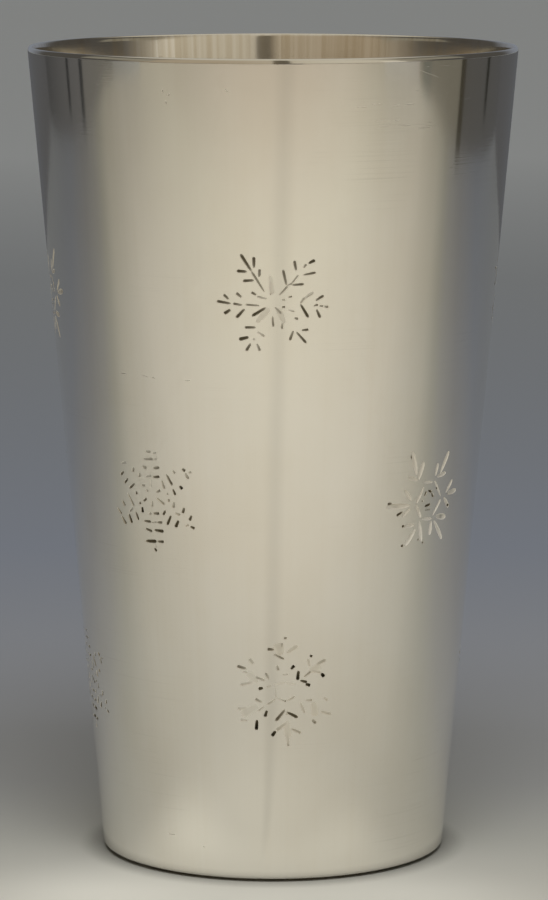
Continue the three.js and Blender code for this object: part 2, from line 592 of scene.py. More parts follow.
# each design is listed stroke by stroke: start and end of a stroke, right and up from the middle, and its
# width, all in mm, then the pressure on the graver
fern = {
    "line": [
        # arm up and to the left, its leaves on the left and on the right
        (-0.9, 1.5, -3.0, 4.9, 0.42, 0.9), (-2.9, 4.8, -4.65, 7.6, 0.6, 0.9),
        (-2.5, 3.4, -4.3, 3.2, 0.6, 0.9), (-3.6, 4.7, -5.3, 4.8, 0.62, 0.9),
        (-1.8, 3.9, -1.7, 5.2, 0.55, 0.8), (-2.5, 5.35, -2.6, 7.15, 0.6, 0.85),
        # arm up and to the right
        (1.3, 1.0, 2.7, 2.5, 0.42, 0.8), (2.6, 2.5, 3.4, 2.9, 0.36, 0.8), (3.2, 2.8, 4.3, 4.2, 0.36, 0.8),
        (5.1, 5.3, 5.5, 5.9, 0.42, 0.9), (5.8, 6.0, 6.9, 6.5, 0.62, 1.0), (2.5, 2.6, 1.9, 5.1, 0.52, 0.85),
        (3.95, 4.9, 3.65, 6.5, 0.55, 0.85), (3.3, 2.55, 5.2, 2.75, 0.48, 0.95),
        (5.1, 4.15, 7.1, 4.5, 0.46, 0.95),
        # arm to the right
        (4.7, -0.4, 6.0, -2.6, 0.55, 1.05), (4.7, -0.3, 5.4, 0.6, 0.45, 0.6),
        (5.3, 0.5, 6.7, 1.5, 0.55, 0.3), (6.8, -0.8, 7.5, -0.6, 0.45, 0.9),
        (7.7, -0.75, 8.3, -0.9, 0.42, 0.8), (8.5, -0.85, 9.2, -1.0, 0.45, 0.8),
        (7.1, 0.1, 8.4, 0.9, 0.52, 0.9), (7.2, -1.3, 7.9, -2.7, 0.52, 0.95),
        # arm down and to the right
        (0.7, -0.9, 1.7, -2.0, 0.48, 0.65), (1.85, -3.4, 1.85, -4.4, 0.46, 0.8),
        (3.8, -2.6, 4.4, -2.8, 0.5, 0.85), (4.1, -4.8, 5.8, -6.7, 0.52, 1.0),
        (4.9, -4.65, 6.1, -4.5, 0.5, 1.0), (3.65, -4.6, 3.0, -6.3, 0.5, 0.85),
        # arm down and to the left
        (-2.3, -4.1, -4.1, -4.15, 0.55, 0.9), (-2.1, -4.8, -0.9, -5.6, 0.45, 0.5),
        (-3.4, -5.7, -5.0, -6.1, 0.66, 0.9), (-3.2, -6.7, -3.9, -7.9, 0.58, 0.85),
        (-2.2, -6.7, -1.7, -7.9, 0.5, 0.75), (-2.6, -5.9, -2.7, -6.2, 0.45, 0.5),
        # arm to the left
        (-1.7, -0.65, -3.95, -0.5, 0.44, 0.9), (-4.4, -0.6, -5.9, -0.4, 0.46, 0.9),
        (-6.2, -0.45, -8.6, -0.1, 0.56, 0.95), (-4.5, 0.65, -5.35, 1.35, 0.55, 0.75),
        (-6.6, 0.2, -7.4, 1.05, 0.52, 0.85), (-4.0, -1.2, -5.5, -2.7, 0.56, 0.95),
        (-6.3, -1.3, -7.4, -2.0, 0.62, 0.85),
        # short cuts between the arms
        (-0.75, -0.95, -2.95, -2.4, 0.56, 1.0), (-0.5, 0.45, -2.1, 0.8, 0.4, 0.6),
        (-2.2, 1.0, -3.05, 1.45, 0.5, 0.95), (0.0, 1.0, 0.05, 3.4, 0.46, 0.25),
        (1.8, 0.15, 2.3, 0.3, 0.38, 0.6), (2.8, 0.7, 3.4, 0.8, 0.42, 0.8),
        (1.8, -0.95, 2.35, -0.9, 0.46, 0.85), (2.8, -1.3, 3.75, -1.6, 0.34, 0.4),
        (0.3, -2.3, 0.45, -4.0, 0.44, 0.85),
        # broad, shallow cuts about the middle
        (-2.2, -3.3, -0.2, -1.0, 1.0, 0.045), (2.2, -3.5, 1.2, -1.1, 1.0, 0.045),
        (-0.1, 4.2, 0.3, 1.2, 0.9, 0.045),
    ],
}
fir = {
    "line": [
        # arm up, crossed by rungs
        (-1.35, 8.8, -0.3, 8.75, 0.48, 0.55), (0.1, 8.6, 0.8, 8.6, 0.45, 0.25),
        (-1.8, 7.55, 0.2, 7.6, 0.5, 0.6), (0.25, 7.6, 0.9, 7.6, 0.45, 0.35),
        (-2.0, 6.35, -1.1, 6.1, 0.52, 0.55), (0.15, 6.1, 1.35, 6.2, 0.58, 0.7),
        (-1.25, 4.65, -0.2, 4.8, 0.46, 0.35), (0.1, 4.6, 1.4, 4.65, 0.56, 0.9),
        (0.75, 2.1, 1.5, 2.4, 0.52, 0.75), (-1.3, 2.65, -0.85, 2.15, 0.52, 0.4),
        (-0.2, 4.2, -0.2, 2.9, 0.3, 0.25),
        # arm up and to the left
        (-3.6, 3.5, -4.85, 2.6, 0.56, 0.9), (-5.15, 4.3, -5.95, 3.45, 0.58, 0.95),
        (-6.05, 5.4, -6.85, 4.85, 0.56, 0.8), (-3.4, 2.2, -3.35, 1.6, 0.58, 0.9),
        (-3.8, 6.2, -3.95, 5.4, 0.56, 0.6), (-2.55, 5.25, -2.65, 4.55, 0.56, 0.6),
        (-2.25, 3.2, -1.5, 3.2, 0.55, 0.45), (-6.65, 6.8, -5.5, 7.0, 0.5, 0.25),
        # arm down and to the left
        (-5.2, 1.85, -3.9, -0.4, 0.46, 0.7), (-6.6, 0.6, -5.9, -0.45, 0.52, 0.7),
        (-7.85, -0.7, -6.85, -1.8, 0.46, 0.75), (-4.1, -0.6, -4.95, -1.35, 0.44, 0.7),
        (-5.15, -1.6, -4.45, -3.2, 0.62, 1.05), (-3.55, -1.15, -2.9, -2.75, 0.54, 1),
        (-6.85, -2.0, -5.7, -3.5, 0.58, 0.7),
        # ring round the middle, with an upright dab in it
        (-2.75, 0.0, -2.4, 0.35, 0.55, 0.95), (-1.95, 0.5, -1.2, 1.05, 0.52, 0.9),
        (0.7, 1.15, 2.45, 0.05, 0.46, 0.65), (-2.1, -0.45, -2.1, -1.4, 0.64, 1.3),
        (2.5, -0.9, 2.1, -1.7, 0.56, 0.9), (-0.7, -1.5, -0.2, -1.45, 0.48, 0.6),
        (0.15, -1.5, 1.4, -1.45, 0.52, 0.85), (-0.05, 0.6, -0.05, -0.35, 0.44, 0.65),
        # arm down
        (-1.8, -2.8, -0.3, -2.9, 0.52, 0.95), (0.9, -3.0, 2.0, -3.0, 0.56, 0.8),
        (-0.2, -2.95, 0.8, -2.95, 0.36, 0.5), (-1.55, -4.05, -0.1, -4.45, 0.56, 0.95),
        (0.3, -4.3, 2.25, -4.5, 0.66, 1.0), (-1.5, -6.15, 0.8, -6.1, 0.66, 1.0),
        (0.95, -6.2, 2.25, -6.2, 0.56, 0.9), (0.35, -7.3, 0.8, -7.85, 0.6, 1.3),
        (0.6, -6.5, 0.65, -7.2, 0.32, 0.4),
        # arm down and to the right
        (3.6, -1.75, 2.8, -3.35, 0.64, 1.0), (5.0, -2.6, 4.4, -3.75, 0.7, 1.0),
        (7.15, -3.6, 7.9, -4.0, 0.56, 1.0), (6.3, -3.5, 6.85, -3.3, 0.45, 0.4),
        (6.0, -0.5, 5.75, -1.4, 0.62, 0.85), (7.3, -1.8, 7.0, -2.6, 0.6, 0.9),
        (4.15, 0.5, 4.05, -0.5, 0.64, 0.45), (2.9, 0.8, 3.4, 0.55, 0.56, 0.65),
        (4.35, -1.35, 5.3, -1.7, 0.48, 0.45),
        # arm up and to the right
        (2.65, 5.1, 3.85, 3.2, 0.56, 0.85), (1.85, 4.1, 2.35, 2.6, 0.5, 0.6),
        (3.85, 2.65, 4.4, 1.55, 0.56, 1.0), (5.1, 3.1, 5.6, 2.55, 0.64, 1.3),
        (5.5, 6.0, 6.05, 5.5, 0.6, 0.8), (6.05, 5.2, 6.65, 4.25, 0.56, 0.55),
        (6.7, 5.25, 7.2, 5.45, 0.46, 0.5), (3.8, 5.7, 4.3, 5.2, 0.56, 0.45),
        (2.8, 2.0, 2.9, 1.6, 0.52, 0.5),
    ],
}
petal = {
    "scoop": [
        # wide ring with six sides
        (-1.0, 2.3, -2.85, -0.5, 0.6, 1.0), (-2.9, -0.6, -1.75, -3.0, 0.65, 1.0),
        (-1.6, -3.2, 1.0, -3.25, 0.55, 1.0), (1.2, -2.8, 3.4, 0.0, 0.65, 1.0),
        (3.4, 0.5, 1.6, 3.3, 0.5, 1.0), (-1.2, 3.05, 1.2, 3.05, 0.55, 0.7),
        # petals up and to the left, up and to the right
        (-2.35, 3.5, -1.05, 6.6, 0.95, 1.0), (-2.7, 4.3, -3.6, 8.35, 0.95, 1.0),
        (-2.5, 3.5, -4.7, 4.0, 0.8, 1.0), (1.9, 4.0, 2.5, 6.2, 0.7, 1.0), (3.1, 4.4, 5.6, 8.2, 0.95, 1.0),
        (2.2, 3.85, 4.8, 4.5, 0.8, 1.0),
        # to the right, down and to the right
        (4.9, 0.95, 7.0, 3.15, 0.8, 1.0), (5.3, 0.85, 8.4, 1.35, 1.0, 1.0), (4.3, 0.3, 6.0, -1.5, 0.9, 1.0),
        (2.0, -2.9, 5.1, -3.1, 1.05, 1.0), (1.55, -3.5, 4.1, -7.0, 0.85, 1.0),
        (0.9, -3.6, 0.5, -6.0, 0.95, 1.0),
        # down and to the left, to the left
        (-2.2, -3.5, -1.6, -7.0, 0.85, 1.0), (-3.0, -4.8, -5.5, -7.6, 0.95, 1.0),
        (-3.3, -4.1, -5.5, -4.3, 0.8, 1.0), (-4.3, -0.8, -9.3, -1.05, 1.05, 1.0),
        (-3.9, 0.0, -5.5, 1.9, 0.7, 1.0), (-4.3, -1.3, -6.0, -2.6, 0.6, 0.8),
    ],
    "line": [
        # small ring in the middle
        (-0.85, 0.65, -0.35, 1.5, 0.48, 1.05), (0.05, 1.6, 1.0, 1.3, 0.52, 1.15),
        (0.95, 1.2, 1.3, 0.45, 0.52, 1.25), (-1.4, 0.2, -1.4, -0.35, 0.48, 0.8),
        (-0.85, -1.1, 0.6, -0.75, 0.52, 1.25), (-0.8, -1.7, 0.6, -1.55, 0.34, 0.7),
        (2.1, 1.8, 2.4, 2.0, 0.56, 1.3),
        # dark pits at the ends of some petals
        (-3.8, 7.9, -3.75, 7.15, 0.55, 0.95), (5.65, -1.0, 5.95, -1.4, 0.66, 1.3),
        (-6.0, -7.4, -6.2, -7.9, 0.64, 0.95), (-5.6, -4.3, -6.1, -4.3, 0.58, 1.05),
        (-8.1, -0.45, -8.95, -0.5, 0.56, 0.9), (-5.9, -1.8, -7.2, -2.45, 0.58, 1.15),
        (-2.4, -6.5, -2.4, -6.9, 0.48, 0.85), (-1.4, -7.1, -1.2, -7.4, 0.46, 0.85),
        (5.3, 0.85, 6.2, 0.9, 0.45, 0.9),
    ],
}
fork = {
    "line": [
        # thin ring with six sides
        (-1.5, 0.6, -1.4, -0.9, 0.32, 0.5), (-1.4, -1.0, 0.0, -1.6, 0.32, 0.55),
        (0.3, -1.5, 1.6, -0.8, 0.34, 0.55), (-1.8, 1.2, 0.0, 1.6, 0.42, 0.2),
        (0.1, 1.6, 1.8, 1.2, 0.42, 0.2), (-0.1, -1.6, 0.2, -1.6, 0.42, 0.8),
        (-1.5, -1.1, -2.9, -2.2, 0.38, 0.6), (-3.4, -2.5, -4.4, -3.2, 0.38, 0.55),
        # arm up
        (-1.3, 4.4, -1.1, 3.5, 0.52, 0.55), (0.95, 3.75, 1.5, 4.35, 0.56, 1.5),
        (-0.4, 2.9, 0.5, 2.9, 0.36, 0.4), (-1.9, 6.3, -0.1, 5.4, 0.42, 0.85),
        (-1.7, 7.0, -2.75, 7.1, 0.6, 0.75), (-0.05, 8.7, 0.05, 9.1, 0.56, 0.65),
        (-0.55, 7.3, -0.5, 8.1, 0.46, 0.6), (0.2, 6.5, 2.0, 7.6, 0.7, 0.22),
        # arm up and to the left
        (-2.5, 2.1, -3.1, 3.15, 0.52, 0.6), (-3.2, 1.95, -4.7, 2.4, 0.5, 0.6),
        (-3.5, 0.65, -4.2, 0.45, 0.64, 1.2), (-2.2, 1.1, -2.95, 0.8, 0.36, 0.6),
        (-6.1, 3.75, -7.7, 4.15, 0.7, 0.6), (-6.9, 3.45, -5.9, 3.15, 0.34, 0.45),
        (-5.0, 4.6, -5.7, 5.5, 0.7, 0.32), (-5.2, 1.6, -7.3, 1.1, 0.6, 0.36),
        # arm down and to the left
        (-3.7, -1.75, -4.8, -1.25, 0.56, 0.6), (-2.9, -3.1, -3.2, -4.2, 0.58, 1.3),
        (-4.55, -4.7, -4.65, -6.4, 0.64, 1.35), (-5.9, -2.8, -7.7, -2.8, 0.55, 0.3),
        (-6.0, -4.75, -7.3, -4.75, 0.6, 0.3),
        # arm down
        (0.1, -3.0, -1.5, -4.9, 0.6, 0.8), (0.4, -3.4, 2.1, -4.35, 0.6, 1.05),
        (0.35, -3.1, 0.35, -3.9, 0.36, 0.5), (-1.45, -6.6, -2.05, -7.5, 0.66, 1.25),
        (1.1, -6.2, 2.8, -7.0, 0.5, 0.6), (0.55, -8.7, 0.65, -9.1, 0.5, 0.55),
        (0.4, -5.2, -1.4, -6.5, 0.7, 0.32), (0.4, -6.5, 0.6, -8.8, 0.55, 0.28),
        # arm down and to the right
        (2.5, -1.8, 3.3, -3.6, 0.52, 0.35), (3.4, -1.5, 4.5, -1.5, 0.56, 0.4),
        (4.55, -4.75, 5.2, -5.45, 0.64, 0.65), (5.9, -3.5, 7.7, -4.0, 0.55, 0.36),
        (6.3, -1.25, 7.0, -1.65, 0.6, 0.28),
        # arm up and to the right
        (2.2, 3.45, 2.0, 1.9, 0.62, 1.35), (2.4, 1.8, 3.6, 1.45, 0.56, 1.1),
        (3.3, 1.2, 4.15, 0.9, 0.6, 1.3), (3.0, 2.4, 4.2, 3.35, 0.44, 0.75),
        (5.85, 2.9, 6.4, 2.3, 0.64, 1.35), (4.1, 5.6, 4.2, 6.0, 0.54, 1.3),
        (4.2, 3.45, 5.8, 3.05, 0.45, 0.45), (5.0, 4.4, 6.6, 5.15, 0.6, 0.42),
        (3.95, 4.1, 3.7, 5.4, 0.55, 0.32),
        # broad, shallow bodies of the petals
        (-0.75, 6.1, -1.1, 8.1, 1.7, 0.075), (-4.4, 1.5, -6.0, 3.2, 1.3, 0.08),
        (-4.3, -2.4, -7.1, -3.9, 1.6, 0.075), (4.6, -1.8, 5.1, -4.3, 1.25, 0.08),
        (3.9, 3.2, 5.7, 4.2, 1.3, 0.07), (0.3, -4.9, 0.6, -7.8, 1.2, 0.07),
    ],
}
# marks of use: a broken level scratch, nicks below the lip, rubbed lines and a low fleck
levelScratch = {
    "scratch": [
        (-7.4, 0.2, -5.8, 0.25, 0.2, 0.8), (-2.5, 0.2, -1.2, 0.15, 0.17, 0.6),
        (-0.6, 0.15, 0.1, -0.1, 0.2, 0.8), (5.5, -0.1, 6.7, -0.1, 0.2, 0.8),
    ],
}
lipNicks = {
    "scratch": [
        (-8.2, 0.5, -8.0, -0.1, 0.24, 0.6), (-7.0, -0.1, -7.1, -0.6, 0.26, 0.6),
        (-7.6, -1.3, -7.5, -1.9, 0.26, 0.6), (2.4, 0.8, 3.1, 0.0, 0.26, 0.6),
    ],
}
rubbedLines = {
    "scratch": [
        (-5.8, 0.85, -3.9, 0.8, 0.18, 0.4), (-3.2, 1.25, -1.2, 1.2, 0.18, 0.4),
        (0.4, 0.95, 2.4, 1.0, 0.16, 0.4), (2.9, 1.0, 5.0, 1.05, 0.16, 0.4),
        (-2.6, -1.4, 0.6, -1.45, 0.17, 0.42), (1.1, -1.5, 2.3, -1.5, 0.17, 0.4),
        (-2.0, -2.3, 0.3, -2.35, 0.17, 0.4), (1.6, -2.4, 4.6, -2.35, 0.17, 0.42),
        (5.6, -2.9, 8.6, -2.9, 0.17, 0.42),
    ],
}
lowFleck = {
    "scratch": [
        (-0.8, 0, 0.8, 0.05, 0.24, 0.7), (5.9, -1.3, 6.2, -1.6, 0.24, 0.7),
    ],
}

# what settles in the cuts, and the surface that the graver leaves
residue = {
    "blotches": (0.0022, 0.0022, 0.0022),
    "limits": (0.12, 0.36),
    "roughening": 0.4,
}
cutSurface = {
    "yellowing": 0.8,
    "chatter": (0.0002, 0.0002, 0.0002),
    "chatterDepth": 0.05 * mm,
    "chatterStrength": 0.15,
}


def makeResidueGroup():
    inputs = {"Deep": "Float", "Amount": "Float"}
    outputs = {"Mask": "Float", "Depth": "Float"}
    group, given, made = startGroup("cutResidue", inputs, outputs)
    place = addNode(group, "ShaderNodeSeparateXYZ", {0: objectPlace(group)}).outputs
    squares = [mathNode(group, "MULTIPLY", axis, axis) for axis in (place[0], place[1])]
    across = mathNode(group, "SQRT", mathNode(group, "ADD", *squares))
    surface = mathNode(group, "ADD", mathNode(group, "MULTIPLY", place[2], wallSlope), outsideRadius(0))
    depth = mathNode(group, "SUBTRACT", surface, across)
    settled = softStep(group, depth, 0.0, given["Deep"])
    blotches = softStep(group, drawnNoise(group, residue["blotches"], detail=2), *residue["limits"])
    share = mathNode(group, "MULTIPLY", mathNode(group, "MULTIPLY", settled, blotches), given["Amount"])
    group.links.new(share, made["Mask"])
    group.links.new(depth, made["Depth"])
    return group


residueGroup = makeResidueGroup()
darkCut = {
    "clean": polishedSilver["clean"],
    "residue": (0.15, 0.13, 0.082, 1),
    "deep": 0.15 * mm,
    "amount": 0.97,
    "roughness": 0.3,
    "metallic": 1,
}
brightCut = {
    "clean": (0.97, 0.95, 0.9, 1),  # frosted by the graver, so it scatters light as a paler metal
    "residue": (0.2, 0.17, 0.11, 1),
    "deep": 0.5 * mm,
    "amount": 0.2,
    "roughness": 0.48,
    "metallic": 0.58,
}
blackest = {"colour": (0.012, 0.011, 0.008, 1), "from": 0.16 * mm, "to": 0.23 * mm}  # in the deepest cuts


def makeCutMaterial(name, finish):
    material, tree, shader = startMaterial(name)
    shader.inputs["Metallic"].default_value = finish["metallic"]
    tone = useGroup(tree, toneGroup, {
        "Clean": finish["clean"],
        "Yellowed": polishedSilver["yellowed"],
        "Amount": cutSurface["yellowing"],
        "Streaks": 0.0,
    })
    settled = useGroup(tree, residueGroup, {"Deep": finish["deep"], "Amount": finish["amount"]})
    dirty = mixColours(tree, settled["Mask"], tone["Color"], finish["residue"])
    black = softStep(tree, settled["Depth"], blackest["from"], blackest["to"])
    tree.links.new(mixColours(tree, black, dirty, blackest["colour"]), shader.inputs["Base Color"])
    rough = mathNode(tree, "MULTIPLY_ADD", settled["Mask"], residue["roughening"], finish["roughness"])
    tree.links.new(rough, shader.inputs["Roughness"])
    bump = addNode(tree, "ShaderNodeBump", {
        "Strength": cutSurface["chatterStrength"],
        "Distance": cutSurface["chatterDepth"],
        "Height": drawnNoise(tree, cutSurface["chatter"], detail=2),
    })
    tree.links.new(bump.outputs[0], shader.inputs["Normal"])
    return material


darkCutMaterial = makeCutMaterial("darkenedCut", darkCut)
brightCutMaterial = makeCutMaterial("brightCut", brightCut)

wallMaterials = [polishedMaterial, insideMaterial, darkCutMaterial, brightCutMaterial]
# design, place round the wall in degrees to the right of the front, height above its edge,
# slopes of its level and its upright lines in degrees, and size
snowflakes = [
    (fern, -0.6, 97.12 * mm, (0, 0), 1.025),
    (fork, 91, 96.4 * mm, (8, 8), 1),
    (fir, 181, 97.3 * mm, (-4, -4), 1),
    (petal, -80.5, 94.9 * mm, (0, 0), 1),
    (fir, -34.7, 62.75 * mm, (4.3, -3.5), 1.015),
    (petal, 47.5, 62.7 * mm, (-4.4, 5.5), 1),
    (fern, 139, 63.2 * mm, (6, 6), 1),
    (fork, 229, 62.3 * mm, (-5, -5), 1),
    (fork, 3.5, 32.3 * mm, (0, 0), 1.02),
    (fern, 97, 32.7 * mm, (-7, -7), 1),
    (petal, 188, 32.0 * mm, (5, 5), 1),
    (fir, -76, 29.2 * mm, (0, 0), 1),
]
wearMarks = [
    (levelScratch, -31.8, 83.95 * mm, (0, 0), 1),
    (lipNicks, -14.2, 130.5 * mm, (0, 0), 1),
    (rubbedLines, 27.2, 127.4 * mm, (0, 0), 1),
    (lowFleck, -34.6, 6.6 * mm, (0, 0), 1),
]


# bends a flat layout onto the wall: x goes round it to the right, y up its slope, z out of it
def wrapOnWall(point, azimuth, level):
    up = level + point.y * math.cos(wallAngle)
    radius = outsideRadius(up) + point.z * math.cos(wallAngle)
    turn = math.radians(azimuth) + point.x / outsideRadius(level)
    return Vector((radius * math.sin(turn), -radius * math.cos(turn), up - point.z * math.sin(wallAngle)))


# one stroke of the graver, as a solid to take away from the wall
def makeStroke(start, end, width, kind, press, azimuth, level):
    tool = graver[kind]
    along = end - start
    side = Vector((-along.y, along.x, 0)).normalized() * width / 2
    bm = bmesh.new()
    verts = [bm.verts.new(start + along * far + side * wide) for far, wide in tool["shape"]]
    edges = [bm.edges.new(pair) for pair in zip(verts, verts[1:])]
    bmesh.ops.spin(bm, geom=verts + edges, cent=start, axis=along, angle=fullTurn, steps=engraving["sides"],
                   use_merge=True)
    bmesh.ops.remove_doubles(bm, verts=bm.verts[:], dist=mergeDistance)
    bmesh.ops.recalc_face_normals(bm, faces=bm.faces[:])
    bmesh.ops.scale(bm, verts=bm.verts[:], vec=(1, 1, tool["depth"] * press))
    bmesh.ops.translate(bm, verts=bm.verts[:], vec=(0, 0, engraving["lift"] * min(press, 1)))
    for vert in bm.verts:
        vert.co = wrapOnWall(vert.co, azimuth, level)
    for face in bm.faces:
        face.material_index = tool["slot"]
        face.smooth = True
    return addObject("stroke", bm, wallMaterials)


# every stroke of the snowflakes and the marks of use, in a collection of their own
def makeCutters():
    cutters = bpy.data.collections.new("graverCuts")
    hand = random.Random(engraving["seed"])
    for design, azimuth, level, slopes, size in snowflakes + wearMarks:
        levelSlope, uprightSlope = (math.radians(slope) for slope in slopes)
        right = Vector((math.cos(levelSlope), math.sin(levelSlope), 0)) * size * mm
        up = Vector((-math.sin(uprightSlope), math.cos(uprightSlope), 0)) * size * mm
        for kind, strokes in design.items():
            for startX, startY, endX, endY, width, press in strokes:
                ends = []
                for x, y in ((startX, startY), (endX, endY)):
                    wander = Vector((hand.uniform(-1, 1), hand.uniform(-1, 1), 0)) * engraving["shake"]
                    ends.append(right * x + up * y + wander)
                width *= mm * hand.uniform(*engraving["unevenWidth"])
                stroke = makeStroke(*ends, width, kind, press, azimuth, wallLow.z + level)
                cutters.objects.link(stroke)
    return cutters


def makeWall():
    corners = [
        (insideRadius(wallLow.z), wallLow.z),
        (footRadius, wallLow.z),
        (outsideRadius(wallTop), wallTop),
        (insideRadius(wallTop), wallTop),
    ]
    bm = drawOutline(corners, [(1, wall["edgeRound"], wall["roundSteps"])])
    turnOutline(bm, wall["turnSteps"])
    for face in bm.faces:
        spot = face.calc_center_median()
        if math.hypot(spot.x, spot.y) < outsideRadius(spot.z) - wallAcross * wall["insideFrom"]:
            face.material_index = insideSlot
    return addObject("bodyWall", bm, wallMaterials)


# takes the cuts out of the wall
def engraveWall(piece, cutters):
    cutting = piece.modifiers.new("engraving", "BOOLEAN")
    cutting.operation = "DIFFERENCE"
    cutting.solver = "MANIFOLD"
    cutting.operand_type = "COLLECTION"
    cutting.collection = cutters
    depsgraph = bpy.context.evaluated_depsgraph_get()
    engraved = bpy.data.meshes.new_from_object(piece.evaluated_get(depsgraph))
    piece.modifiers.clear()
    plain = piece.data
    piece.data = engraved
    engraved.name = "bodyWall"
    bpy.data.meshes.remove(plain)
    for stroke in list(cutters.objects):
        mesh = stroke.data
        bpy.data.objects.remove(stroke)
        bpy.data.meshes.remove(mesh)
    bpy.data.collections.remove(cutters)


bodyWall = makeWall()
engraveWall(bodyWall, makeCutters())
dressPiece(bodyWall, "body_wall", wall["sharpAngle"])
trueConeNormals(bodyWall.data)
print("engraving cut:", len(snowflakes), "snowflakes")

# the floor shades from pale in front to a cool grey behind and paler again far off, with painted light
# before the foot, painted shade off to the sides and a painted contact shadow at the foot
floor = {
    "size": 9.0,
    "divisions": 4,
    "roughness": 0.9,
    "gloss": 0.1,
    "shadeFrom": -0.7,
    "shadeTo": 1.6,
    "shades": [
        (-0.6, (0.53, 0.48, 0.415, 1)),
        (-0.4, (0.645, 0.62, 0.54, 1)),
        (-0.18, (0.65, 0.63, 0.575, 1)),
        (-0.05, (0.535, 0.53, 0.49, 1)),
        (0.0, (0.42, 0.425, 0.402, 1)),
        (0.045, (0.36, 0.37, 0.38, 1)),
        (0.13, (0.31, 0.325, 0.36, 1)),
        (0.3, (0.29, 0.325, 0.41, 1)),
        (0.9, (0.4, 0.44, 0.51, 1)),
        (1.5, (0.64, 0.7, 0.8, 1)),
    ],
    # the bright patches before the foot are painted light, standing in for light the silver throws down; the
    # dark ones far to the sides are painted shade where the lamp's light falls off
    "patches": [  # middle, half-widths across and along, turn in degrees, brightness at the middle
        ((-0.005, -0.045, 0), (0.07, 0.07, 1), 0, 1.27),
        ((-0.031, -0.034, 0), (0.03, 0.024, 1), 40, 1.24),
        ((0, -0.037, 0), (0.045, 0.016, 1), 0, 1.08),
        ((0.026, -0.035, 0), (0.026, 0.02, 1), -35, 1.12),
        ((-0.62, -0.24, 0), (0.27, 0.27, 1), 0, 0.86),
        ((-0.4, -0.47, 0), (0.32, 0.22, 1), 0, 0.91),
        ((0.64, -0.44, 0), (0.36, 0.3, 1), 0, 0.73),
    ],
    # painted contact shadow: ambient occlusion darkens the floor's colour close to the foot
    "paintedShadowReach": 0.0045,
    "paintedShadowLeast": 0.55,  # light that still gets into the narrowest gap
    "paintedShadowPower": 0.9,
    "paintedShadowSamples": 4,
}


# paints light or shade into the floor: brightens or darkens the colour of a soft oval patch
def paintLightOrShadePatch(tree, colour, middle, reach, turn, strength):
    spot = addNode(tree, "ShaderNodeMapping", {
        "Vector": objectPlace(tree),
        "Location": middle,
        "Rotation": (0, 0, math.radians(turn)),
        "Scale": reach,
    }, vector_type="TEXTURE").outputs[0]
    away = vectorNode(tree, "LENGTH", {0: spot})["Value"]
    share = softStep(tree, away, 1.0, 0.0, start=1.0, end=strength)
    return vectorNode(tree, "SCALE", {0: colour, "Scale": share})[0]


def makeFloor():
    bm = bmesh.new()
    divisions = floor["divisions"]
    bmesh.ops.create_grid(bm, x_segments=divisions, y_segments=divisions, size=floor["size"] / 2)
    material, tree, shader = startMaterial("paleFloor")
    along = addNode(tree, "ShaderNodeSeparateXYZ", {0: objectPlace(tree)}).outputs[1]
    sockets = {"Value": along, "From Min": floor["shadeFrom"], "From Max": floor["shadeTo"]}
    share = addNode(tree, "ShaderNodeMapRange", sockets).outputs["Result"]
    ramp = addNode(tree, "ShaderNodeValToRGB", {"Fac": share})
    stops = ramp.color_ramp.elements
    span = floor["shadeTo"] - floor["shadeFrom"]
    while len(stops) < len(floor["shades"]):
        stops.new(0.5)  # put in its place below
    for stop, (place, colour) in zip(stops, floor["shades"]):
        stop.position = (place - floor["shadeFrom"]) / span
        stop.color = colour
    colour = ramp.outputs["Color"]
    for patch in floor["patches"]:
        colour = paintLightOrShadePatch(tree, colour, *patch)
    # painted contact shadow in the floor's colour, from ambient occlusion near the foot
    contact = addNode(tree, "ShaderNodeAmbientOcclusion", {"Distance": floor["paintedShadowReach"]},
                      samples=floor["paintedShadowSamples"])
    lit = mathNode(tree, "MAXIMUM", contact.outputs["AO"], floor["paintedShadowLeast"])
    shade = mathNode(tree, "POWER", lit, floor["paintedShadowPower"])
    tree.links.new(vectorNode(tree, "SCALE", {0: colour, "Scale": shade})[0], shader.inputs["Base Color"])
    shader.inputs["Roughness"].default_value = floor["roughness"]
    shader.inputs["Specular IOR Level"].default_value = floor["gloss"]
    plane = addObject("floor", bm, [material])
